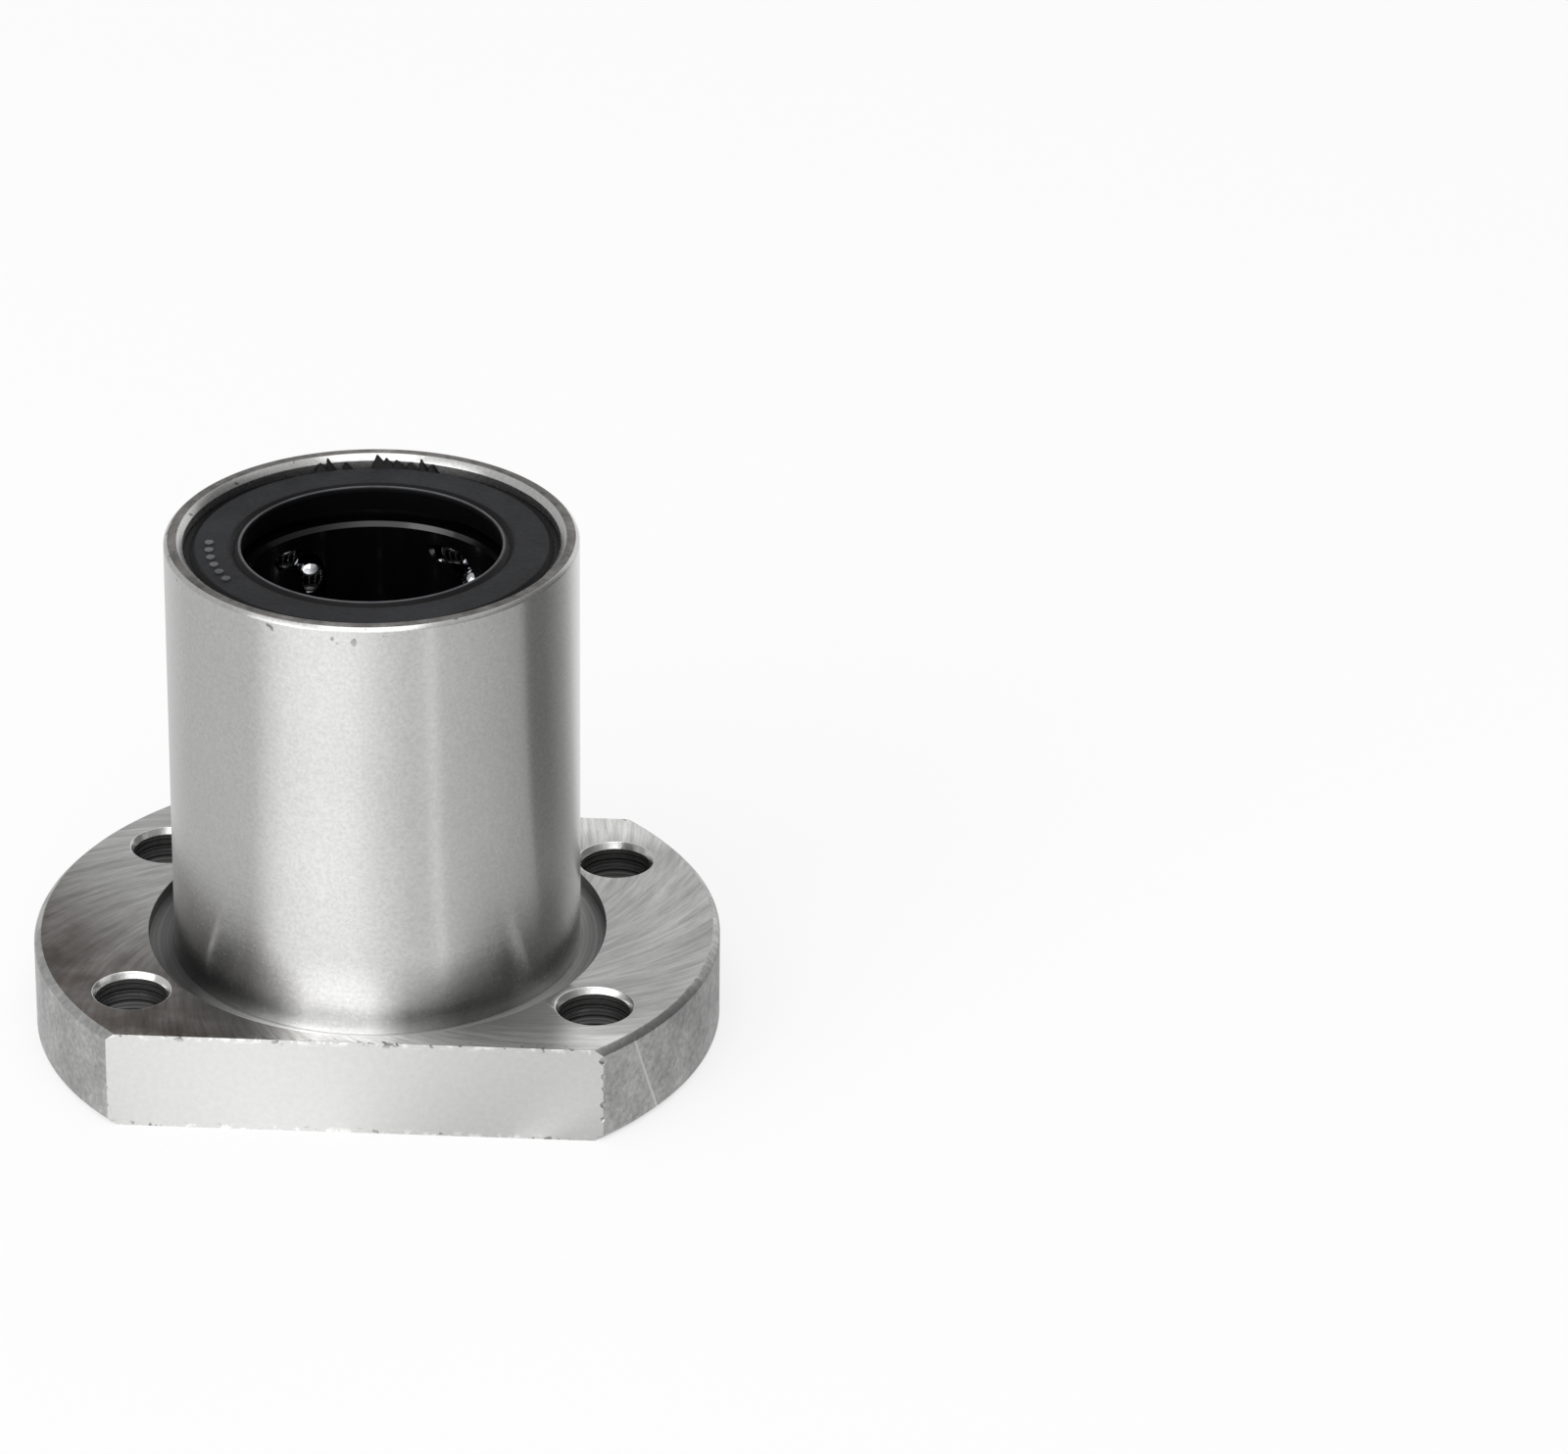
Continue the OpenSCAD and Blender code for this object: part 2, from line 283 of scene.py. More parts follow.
def feed(node, inputs):
    """Gives a node's inputs, by name or in their order, a value or a link each. A map range takes its
    value, the range that comes in and the range that goes out."""
    for key, value in inputs.items() if isinstance(inputs, dict) else enumerate(inputs):
        if isinstance(value, bpy.types.NodeSocket):
            node.id_data.links.new(value, node.inputs[key])
        else:
            node.inputs[key].default_value = value


def add(tree, kind, inputs=None, stops=(), out=0, **settings):
    """Adds a node with its settings and inputs, and gives a colour ramp its stops of (place, grey).
    Returns the output asked for; with None, the node."""
    node = tree.nodes.new("ShaderNode" + kind)
    for name, value in settings.items():
        setattr(node, name, value)
    feed(node, inputs or {})
    for _ in stops[2:]:
        node.color_ramp.elements.new(0.5)
    for number, (spot, grey) in enumerate(stops):
        node.color_ramp.elements[number].position = spot
        node.color_ramp.elements[number].color = (grey, grey, grey, 1.0)
    return node if out is None else node.outputs[out]


def from_axis(tree, place):
    """The place with its height left out, and its distance from the axis."""
    level = add(tree, "VectorMath", (place, (1, 1, 0)), operation="MULTIPLY")
    return level, add(tree, "VectorMath", (level,), operation="LENGTH", out="Value")


def flecked(tree, place, edge, tone):
    """The tone with pale flecks, painted glints of burrs, and dark ones of dirt, 0.5 mm across, where edge is near
    1.
    """
    flecks = add(tree, "TexNoise", {"Vector": place, "Scale": 1500.0, "Detail": 2.0})
    # The pale flecks are painted glints of burrs; the dark ones are dirt.
    for low, high, fleck in ((0.56, 0.6, 1.25), (0.38, 0.34, 0.3)):
        share = add(tree, "MapRange", (flecks, low, high))
        share = add(tree, "Math", (share, edge), operation="MULTIPLY")
        tone = add(tree, "Mix", {"Factor": share, "A": tone, "B": fleck})
    return tone


def new_material(name):
    """A material with an empty Principled shader, its tree, and the object's own coordinates."""
    material = bpy.data.materials.new(name)
    material.use_nodes = True
    tree = material.node_tree
    shader = tree.nodes["Principled BSDF"]
    place = add(tree, "TexCoord", out="Object")
    return material, tree, shader, place


def ground_sleeve_steel(base, stain):
    """Bearing steel ground between centres: fine hoop-wise scratches pull reflections out along the
    axis, so that the studio shows as upright bands. Its turned end ring is duller, with oil on it."""
    material, tree, shader, place = new_material("ground_sleeve_steel")
    parts = add(tree, "SeparateXYZ", {"Vector": place}, out=None)
    height = parts.outputs["Z"]
    hoops = add(tree, "Mapping", {"Vector": place, "Scale": (60, 60, 3600)})
    scratches = add(tree, "TexNoise", {"Vector": hoops, "Scale": 1.0, "Detail": 1.0})
    # The wheel's grain is 0.05 mm; 0.3 mm is the finest that shows.
    grain = add(tree, "TexNoise", {"Vector": place, "Scale": 3200.0, "Detail": 3.0, "Roughness": 0.7})
    cloud = add(tree, "TexNoise", {"Vector": place, "Scale": 90.0, "Detail": 2.0})
    body = add(tree, "MapRange", (grain, 0.25, 0.75, 0.8, 1.04))
    haze = add(tree, "MapRange", (cloud, 0.3, 0.7, 0.95, 1.0))
    body = add(tree, "Math", (body, haze), operation="MULTIPLY")
    # On the -Y half, the foot is painted darker on both sides as shade and brighter in the middle as a highlight.
    side = add(tree, "MapRange", (parts.outputs["X"], -SLEEVE_R, SLEEVE_R))
    oil_and_painted_light = add(tree, "ValToRGB", {"Fac": side}, stops=[(0.07, 0.28), (0.22, 0.40), (0.30, 0.65), (0.37, 1.45),
                                                      (0.53, 1.5), (0.62, 0.55), (0.75, 0.24), (0.85, 0.32),
                                                      (0.93, 0.9)], out="Color")
    foot = add(tree, "MapRange", (height, 8.5 * MM, 13.5 * MM, 1.0, 0.0))
    half = add(tree, "MapRange", (parts.outputs["Y"], -6 * MM, 0.0, 1.0, 0.0))
    foot = add(tree, "Math", (foot, half), operation="MULTIPLY")
    oil_and_painted_light = add(tree, "Mix", {"Factor": foot, "A": 1.0, "B": oil_and_painted_light})
    body = add(tree, "Math", (body, oil_and_painted_light), operation="MULTIPLY")
    # Dark nicks lie in the top 2 mm, where sleeves knock together in a box.
    knocks = add(tree, "TexNoise", {"Vector": place, "Scale": 850.0, "Detail": 2.0})
    knocks = add(tree, "MapRange", (knocks, 0.69, 0.72))
    high = add(tree, "MapRange", (height, SLEEVE_LEN - 2.2 * MM, SLEEVE_LEN - 0.6 * MM))
    nicked = add(tree, "Math", (knocks, high), operation="MULTIPLY")
    body = add(tree, "Mix", {"Factor": nicked, "A": body, "B": 0.35})
    # The end rings were turned, which leaves rings 0.1 mm apart, drawn 0.2 mm apart.
    _, radius = from_axis(tree, place)
    rings = add(tree, "TexNoise", {"W": radius, "Scale": 5000.0, "Detail": 2.0}, noise_dimensions="1D")
    spots = add(tree, "TexNoise", {"Vector": place, "Scale": 700.0, "Detail": 5.0, "Roughness": 0.75})
    dirt = add(tree, "Math", (rings, 0.35, spots), operation="MULTIPLY_ADD")
    turned_tone = add(tree, "MapRange", (dirt, 0.5, 0.85, 0.3, 0.8))
    facing = add(tree, "TexCoord", out="Normal")
    upward = add(tree, "SeparateXYZ", {"Vector": facing}, out="Z")
    upward = add(tree, "Math", (upward,), operation="ABSOLUTE")
    end = add(tree, "MapRange", (upward, 0.86, 0.95))
    tone = add(tree, "Mix", {"Factor": end, "A": body, "B": turned_tone})
    oily = add(tree, "Math", (end, 0.5), operation="MULTIPLY")
    steel = add(tree, "Mix", {"Factor": oily, "A": base, "B": stain}, **BLEND)
    tint = add(tree, "Mix", {"Factor": 1.0, "A": steel, "B": tone}, **TINT)
    rough = add(tree, "MapRange", (grain, 0, 1, 0.22, 0.30))
    rough = add(tree, "Mix", {"Factor": end, "A": rough, "B": 0.42})
    bump = add(tree, "Bump", {"Strength": 0.04, "Distance": 0.2 * MM, "Height": scratches})
    hoop = add(tree, "Tangent", direction_type="RADIAL", axis="Z")
    feed(shader, {"Base Color": tint, "Roughness": rough, "Normal": bump, "Tangent": hoop, "Metallic": 1.0,
                  "Anisotropic": 0.88, "Anisotropic Rotation": 0.25})
    return material


def ground_flange_face(base, stain):
    """Carbon steel ground on a turning table. The wheel leaves curved lines that fan out from the middle
    and lean 50 degrees from the radius, so the shine lies in rays across them. A brown film, partly stain
    and partly painted shade, thickens towards the -X -Y corner; pale flecks painted as glints of burrs and dark
    flecks of dirt lie along the flats."""
    material, tree, shader, place = new_material("ground_flange_face")
    parts = add(tree, "SeparateXYZ", {"Vector": place}, out=None)
    x, y = parts.outputs["X"], parts.outputs["Y"]
    _, radius = from_axis(tree, place)
    # Along one line the angle grows with the logarithm of the radius, times the tangent of the lean.
    turn = add(tree, "Math", (y, x), operation="ARCTAN2")
    log = add(tree, "Math", (radius, math.e), operation="LOGARITHM")
    line = add(tree, "Math", (log, -math.tan(math.radians(50)), turn), operation="MULTIPLY_ADD")
    across = add(tree, "Math", (line,), operation="COSINE")
    along = add(tree, "Math", (line,), operation="SINE")
    wheel = add(tree, "CombineXYZ", (across, along, log))
    # 30 gives lines about 0.4 mm apart at the bolt holes; the real ones are half that. 5 gives the
    # broad rays that the wheel leaves as it chatters.
    spread = add(tree, "VectorMath", (wheel, (30, 30, 6)), operation="MULTIPLY")
    lines = add(tree, "TexNoise", {"Vector": spread, "Scale": 1.0, "Detail": 5.0, "Roughness": 0.75})
    fan = add(tree, "VectorMath", (wheel, (5, 5, 2)), operation="MULTIPLY")
    rays = add(tree, "TexNoise", {"Vector": fan, "Scale": 1.0, "Detail": 2.0})
    scored = add(tree, "MapRange", (lines, 0.34, 0.66, 0.62, 1.05))
    broad = add(tree, "MapRange", (rays, 0.32, 0.68, 0.8, 1.05))
    tone = add(tree, "Math", (scored, broad), operation="MULTIPLY")
    # The face is painted bright along the flats on the +X side as a highlight; flecks lie within 0.7 mm of the
    # flats.
    out = add(tree, "Math", (y,), operation="ABSOLUTE")
    painted_highlight = add(tree, "MapRange", (out, FLAT_Y - 5.5 * MM, FLAT_Y - 2.0 * MM))
    beside = add(tree, "MapRange", (x, -7 * MM, -3 * MM, 0.1, 1.0))
    painted_highlight = add(tree, "Math", (painted_highlight, beside), operation="MULTIPLY")
    bright = add(tree, "Math", (scored, 1.55), operation="MULTIPLY")
    tone = add(tree, "Mix", {"Factor": painted_highlight, "A": tone, "B": bright})
    edge = add(tree, "MapRange", (out, FLAT_Y - 0.7 * MM, FLAT_Y - 0.2 * MM))
    tone = flecked(tree, place, edge, tone)
    # A brown film darkens the face towards the -X -Y corner: partly stain, partly painted shade.
    lean = add(tree, "Math", (y, 0.9, x), operation="MULTIPLY_ADD")
    stain_and_painted_shade = add(tree, "MapRange", (lean, -31 * MM, -12 * MM, 1.0, 0.0), interpolation_type="SMOOTHSTEP")
    patch = add(tree, "TexNoise", {"Vector": place, "Scale": 260.0, "Detail": 4.0, "Roughness": 0.6})
    patchy = add(tree, "MapRange", (patch, 0.3, 0.6, 0.75, 1.0))
    stain_and_painted_shade = add(tree, "Math", (stain_and_painted_shade, patchy), operation="MULTIPLY")
    steel = add(tree, "Mix", {"Factor": stain_and_painted_shade, "A": base, "B": stain}, **BLEND)
    tint = add(tree, "Mix", {"Factor": 1.0, "A": steel, "B": tone}, **TINT)
    rough = add(tree, "MapRange", (tone, 0.3, 1.0, 0.46, 0.28))
    bump = add(tree, "Bump", {"Strength": 0.35, "Distance": 0.06 * MM, "Height": lines})
    hoop = add(tree, "Tangent", direction_type="RADIAL", axis="Z")
    # The lines lie 40 degrees from the hoops.
    feed(shader, {"Base Color": tint, "Roughness": rough, "Normal": bump, "Tangent": hoop, "Metallic": 1.0,
                  "Anisotropic": 0.7, "Anisotropic Rotation": 0.25 - 40 / 360})
    return material


def milled_flange_steel(base):
    """Carbon steel, machined: flats milled smooth and bright, round sides and recess turned and duller
    with a fine speckle, the recess with painted shade and a painted highlight, holes drilled in rings and painted
    dark as shade, their chamfers painted bright as a highlight."""
    material, tree, shader, place = new_material("milled_flange_steel")
    parts = add(tree, "SeparateXYZ", {"Vector": place}, out=None)
    height = parts.outputs["Z"]
    level, radius = from_axis(tree, place)
    out = add(tree, "VectorMath", (level,), operation="ABSOLUTE")
    out_y = add(tree, "SeparateXYZ", {"Vector": out}, out="Y")
    grain = add(tree, "TexNoise", {"Vector": place, "Scale": 2100.0, "Detail": 3.0, "Roughness": 0.65})
    side = add(tree, "MapRange", (grain, 0.3, 0.7, 0.55, 0.86))
    patch = add(tree, "TexNoise", {"Vector": place, "Scale": 330.0, "Detail": 4.0})
    patch = add(tree, "MapRange", (patch, 0.35, 0.65, 0.8, 1.08))
    side = add(tree, "Math", (side, patch), operation="MULTIPLY")
    fresh = add(tree, "MapRange", (grain, 0.3, 0.7, 0.9, 0.97))
    milled = add(tree, "Math", (out_y, FLAT_Y - 0.03 * MM), operation="GREATER_THAN")
    tone = add(tree, "Mix", {"Factor": milled, "A": side, "B": fresh})
    # The turning tool's rings in the recess are 0.25 mm apart; the recess is painted darker than the round sides
    # as shade.
    hoops = add(tree, "TexNoise", {"W": radius, "Scale": 4200.0, "Detail": 2.0}, noise_dimensions="1D")
    hoops = add(tree, "MapRange", (hoops, 0.3, 0.7, 0.48, 0.62))
    # The recess is painted brighter towards -Y as a highlight and darker towards -X and +X as shade.
    painted_highlight_front = add(tree, "MapRange", (parts.outputs["Y"], -16 * MM, -6 * MM, 2.7, 1.2))
    across = add(tree, "MapRange", (parts.outputs["X"], -18 * MM, 18 * MM))
    painted_shade_sides = add(tree, "ValToRGB", {"Fac": across}, stops=[(0.0, 0.5), (0.06, 0.2), (0.12, 0.2), (0.17, 0.5),
                                                          (0.28, 1.0), (0.90, 1.0), (0.96, 0.5), (1.0, 0.4)],
                out="Color")
    hoops = add(tree, "Math", (hoops, painted_highlight_front), operation="MULTIPLY")
    hoops = add(tree, "Math", (hoops, painted_shade_sides), operation="MULTIPLY")
    recess = add(tree, "Math", (radius, SLEEVE_R + 2.05 * MM), operation="LESS_THAN")
    tone = add(tree, "Mix", {"Factor": recess, "A": tone, "B": hoops})
    # The drill's rings are 0.25 mm apart too; the holes' walls and pockets are painted darker as shade.
    bored = add(tree, "TexNoise", {"W": height, "Scale": 4000.0, "Detail": 2.0}, noise_dimensions="1D")
    bored = add(tree, "MapRange", (bored, 0.40, 0.60, 0.15, 1.0))
    from_hole = add(tree, "VectorMath", (out, (HOLE_X, HOLE_Y, 0)), operation="DISTANCE", out="Value")
    chamfer_foot = FLANGE_T - 0.48 * MM
    sunk = add(tree, "Math", (height, chamfer_foot), operation="LESS_THAN")
    wide = add(tree, "MapRange", (height, POCKET_DEPTH + 0.05 * MM, POCKET_DEPTH + 0.1 * MM, POCKET_R + 0.05 * MM,
                                  HOLE_R + 0.1 * MM))
    within = add(tree, "Math", (from_hole, wide), operation="LESS_THAN")
    sunk = add(tree, "Math", (sunk, within), operation="MULTIPLY")
    tone = add(tree, "Mix", {"Factor": sunk, "A": tone, "B": bored})
    # The chamfers are painted bright as a highlight.
    chamfer = add(tree, "Math", (height, chamfer_foot), operation="GREATER_THAN")
    round_hole = add(tree, "Math", (from_hole, HOLE_R + 0.45 * MM), operation="LESS_THAN")
    chamfer = add(tree, "Math", (chamfer, round_hole), operation="MULTIPLY")
    tone = add(tree, "Mix", {"Factor": chamfer, "A": tone, "B": 1.1})
    # Pale flecks painted as glints of burrs, and dark flecks of dirt, 0.5 mm across, lie along the flats' edges.
    from_middle = add(tree, "Math", (height, FLANGE_T / 2), operation="SUBTRACT")
    from_middle = add(tree, "Math", (from_middle,), operation="ABSOLUTE")
    edge = add(tree, "MapRange", (from_middle, FLANGE_T / 2 - 0.5 * MM, FLANGE_T / 2 - 0.05 * MM))
    edge = add(tree, "Math", (edge, milled), operation="MULTIPLY")
    tone = flecked(tree, place, edge, tone)
    # One scratch from a vice runs down the round side beside the +X -Y corner.
    mark = add(tree, "VectorMath", (place, (1, 0, 0.22)), operation="DOT_PRODUCT", out="Value")
    mark = add(tree, "Math", (mark, 23.1 * MM, 0.07 * MM), operation="COMPARE")
    near = add(tree, "Math", (parts.outputs["Y"], -FLAT_Y / 2), operation="LESS_THAN")
    skin = add(tree, "Math", (radius, FLANGE_R - 0.2 * MM), operation="GREATER_THAN")
    near = add(tree, "Math", (near, skin), operation="MULTIPLY")
    mark = add(tree, "Math", (mark, near), operation="MULTIPLY")
    tone = add(tree, "Mix", {"Factor": mark, "A": tone, "B": 1.0})
    tint = add(tree, "Mix", {"Factor": 1.0, "A": base, "B": tone}, **TINT)
    rough = add(tree, "MapRange", (tone, 0.3, 1.0, 0.44, 0.22))
    rough = add(tree, "Mix", {"Factor": milled, "A": rough, "B": 0.42})
    rough = add(tree, "Mix", {"Factor": recess, "A": rough, "B": 0.5})
    bump = add(tree, "Bump", {"Strength": 0.35, "Distance": 0.06 * MM, "Height": grain})
    feed(shader, {"Base Color": tint, "Roughness": rough, "Normal": bump, "Metallic": 1.0})
    return material


def moulded_nitrile(base, wear_and_sheen):
    """Nitrile rubber moulded in a turned tool: nearly matt, blue-black, with faint hoops, an edge to
    its lip that is worn pale and painted with a highlight, and a groove beside it painted dark as shade."""
    material, tree, shader, place = new_material("moulded_nitrile")
    grain = add(tree, "TexNoise", {"Vector": place, "Scale": 2200.0, "Detail": 4.0})
    dust = add(tree, "TexNoise", {"Vector": place, "Scale": 110.0, "Detail": 6.0, "Roughness": 0.72})
    pale = add(tree, "MapRange", (dust, 0.38, 0.68, 0.6, 2.2))
    _, radius = from_axis(tree, place)
    outward = add(tree, "MapRange", (radius, LIP_R, BORE_R))
    # The lip's edge, the groove 0.6 to 0.9 mm out from it, the face, and the step beside the sleeve; the groove
    # and the step are painted dark as shade.
    zones_and_painted_shade = add(tree, "ValToRGB", {"Fac": outward}, stops=[(0.0, 0.3), (0.09, 0.1), (0.20, 0.1), (0.25, 1.0),
                                                           (0.78, 1.0), (0.82, 0.15), (1.0, 0.1)], out="Color")
    pale = add(tree, "Math", (pale, zones_and_painted_shade), operation="MULTIPLY")
    tint = add(tree, "Mix", {"Factor": 1.0, "A": base, "B": pale}, **TINT)
    # What stands above the face is worn pale and painted with a highlight: the lip's edge and the vent pips.
    above = add(tree, "SeparateXYZ", {"Vector": place}, out="Z")
    above = add(tree, "Math", (above, SLEEVE_LEN / 2), operation="SUBTRACT")
    above = add(tree, "Math", (above,), operation="ABSOLUTE")
    painted_highlight = add(tree, "MapRange", (above, FACE_HALF + 0.02 * MM, FACE_HALF + 0.09 * MM))
    scuffs = add(tree, "MapRange", (dust, 0.3, 0.6, 0.35, 1.0))
    painted_highlight = add(tree, "Math", (painted_highlight, scuffs), operation="MULTIPLY")
    inner = add(tree, "Math", (outward, 0.7), operation="LESS_THAN")
    painted_highlight = add(tree, "Math", (painted_highlight, inner), operation="MULTIPLY")
    tint = add(tree, "Mix", {"Factor": painted_highlight, "A": tint, "B": wear_and_sheen}, **BLEND)
    rough = add(tree, "MapRange", (grain, 0, 1, 0.42, 0.62))
    # The rings that the tool's turning left are 0.2 mm apart.
    rings = add(tree, "TexNoise", {"W": radius, "Scale": 5000.0, "Detail": 2.0}, noise_dimensions="1D")
    relief = add(tree, "Math", (rings, 0.6, grain), operation="MULTIPLY_ADD")
    bump = add(tree, "Bump", {"Strength": 0.2, "Distance": 0.1 * MM, "Height": relief})
    feed(shader, {"Base Color": tint, "Roughness": rough, "Normal": bump, "IOR": 1.52, "Specular IOR Level": 0.18})
    return material


def moulded_resin(base):
    """Black acetal from a polished tool: glossy, wet with a trace of oil, with faint flow lines."""
    material, tree, shader, place = new_material("moulded_resin")
    flow = add(tree, "Mapping", {"Vector": place, "Scale": (500, 500, 80)})
    lines = add(tree, "TexNoise", {"Vector": flow, "Scale": 1.0, "Detail": 3.0})
    pale = add(tree, "MapRange", (lines, 0.35, 0.75, 0.7, 1.4))
    tint = add(tree, "Mix", {"Factor": 1.0, "A": base, "B": pale}, **TINT)
    rough = add(tree, "MapRange", (lines, 0, 1, 0.12, 0.26))
    feed(shader, {"Base Color": tint, "Roughness": rough, "IOR": 1.48, "Coat Weight": 0.3, "Coat Roughness": 0.08})
    return material


def polished_ball_steel(base):
    """Bearing steel lapped to a mirror, under a film of oil that dulls it in patches."""
    material, tree, shader, place = new_material("polished_ball_steel")
    oil_and_painted_light = add(tree, "TexNoise", {"Vector": place, "Scale": 900.0, "Detail": 3.0})
    rough = add(tree, "MapRange", (oil_and_painted_light, 0, 1, 0.05, 0.14))
    pale = add(tree, "MapRange", (oil_and_painted_light, 0.3, 0.7, 0.8, 1.0))
    tint = add(tree, "Mix", {"Factor": 1.0, "A": base, "B": pale}, **TINT)
    feed(shader, {"Roughness": rough, "Base Color": tint, "Metallic": 1.0})
    return material


def oiled_spring_steel(base):
    """Rolled spring steel, blued and oiled: dark grey with long rolling marks."""
    material, tree, shader, place = new_material("oiled_spring_steel")
    rolled = add(tree, "Mapping", {"Vector": place, "Scale": (900, 900, 60)})
    marks = add(tree, "TexNoise", {"Vector": rolled, "Scale": 1.0, "Detail": 4.0})
    pale = add(tree, "MapRange", (marks, 0.3, 0.7, 0.75, 1.1))
    tint = add(tree, "Mix", {"Factor": 1.0, "A": base, "B": pale}, **TINT)
    rough = add(tree, "MapRange", (marks, 0, 1, 0.25, 0.45))
    feed(shader, {"Base Color": tint, "Roughness": rough, "Metallic": 1.0})
    return material


class BUSHING_OT_sleeve(bpy.types.Operator):
    """Turns the sleeve, grooves it for the return rows and rings, and grinds it"""

    bl_idname = "bushing.sleeve"
    bl_label = "Sleeve"

    def execute(self, context):
        s = context.scene.bushing_sizes
        middle = s.sleeve_length / 2
        lead_in = s.bore_radius - s.raceway_radius
        half = [
            (s.bore_radius + s.mouth_chamfer, 0.0),
            (s.bore_radius, s.mouth_chamfer),
            (s.bore_radius, RING_LOW - 0.05 * MM),
            (RING_R + 0.05 * MM, RING_LOW - 0.05 * MM),
            (RING_R + 0.05 * MM, RING_HIGH + 0.05 * MM),
            (s.bore_radius, RING_HIGH + 0.05 * MM),
            (s.bore_radius, middle - s.raceway_half - lead_in),
            (s.raceway_radius, middle - s.raceway_half),
        ]
        bore = half + [(r, s.sleeve_length - z) for r, z in reversed(half)]
        outside = [
            (s.sleeve_radius - s.sleeve_chamfer, s.sleeve_length),
            (s.sleeve_radius, s.sleeve_length - s.sleeve_chamfer),
            (s.sleeve_radius, s.flange_thickness - s.recess_depth),
            (s.seat_radius, s.flange_thickness - s.recess_depth),
            (s.seat_radius, 0.0),
        ]
        sleeve = turned("sleeve_shell", bore + outside, 256)
        row_x, row_y = self.return_row()
        for number in range(CIRCUITS):
            turn = 2 * math.pi * number / CIRCUITS
            groove = turned("return_groove", [(s.groove_radius, middle - s.row_length / 2),
                                              (s.groove_radius, middle + s.row_length / 2)], 48, solid=True)
            groove.location = (row_x * math.cos(turn) - row_y * math.sin(turn),
                               row_x * math.sin(turn) + row_y * math.cos(turn), 0)
            settle(groove)
            cut(sleeve, groove)
        round_edges(sleeve, s.edge_round)
        shade(sleeve)
        finish = context.scene.bushing_finishes
        material = ground_sleeve_steel(finish.sleeve_steel, finish.flange_stain)
        put_in_place(sleeve, "outer_sleeve", material)
        return {"FINISHED"}

    def return_row(self):
        """Where the first return row lies, from its CAD balls."""
        low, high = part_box("return_balls_1")
        return (low.x + high.x) / 2, (low.y + high.y) / 2


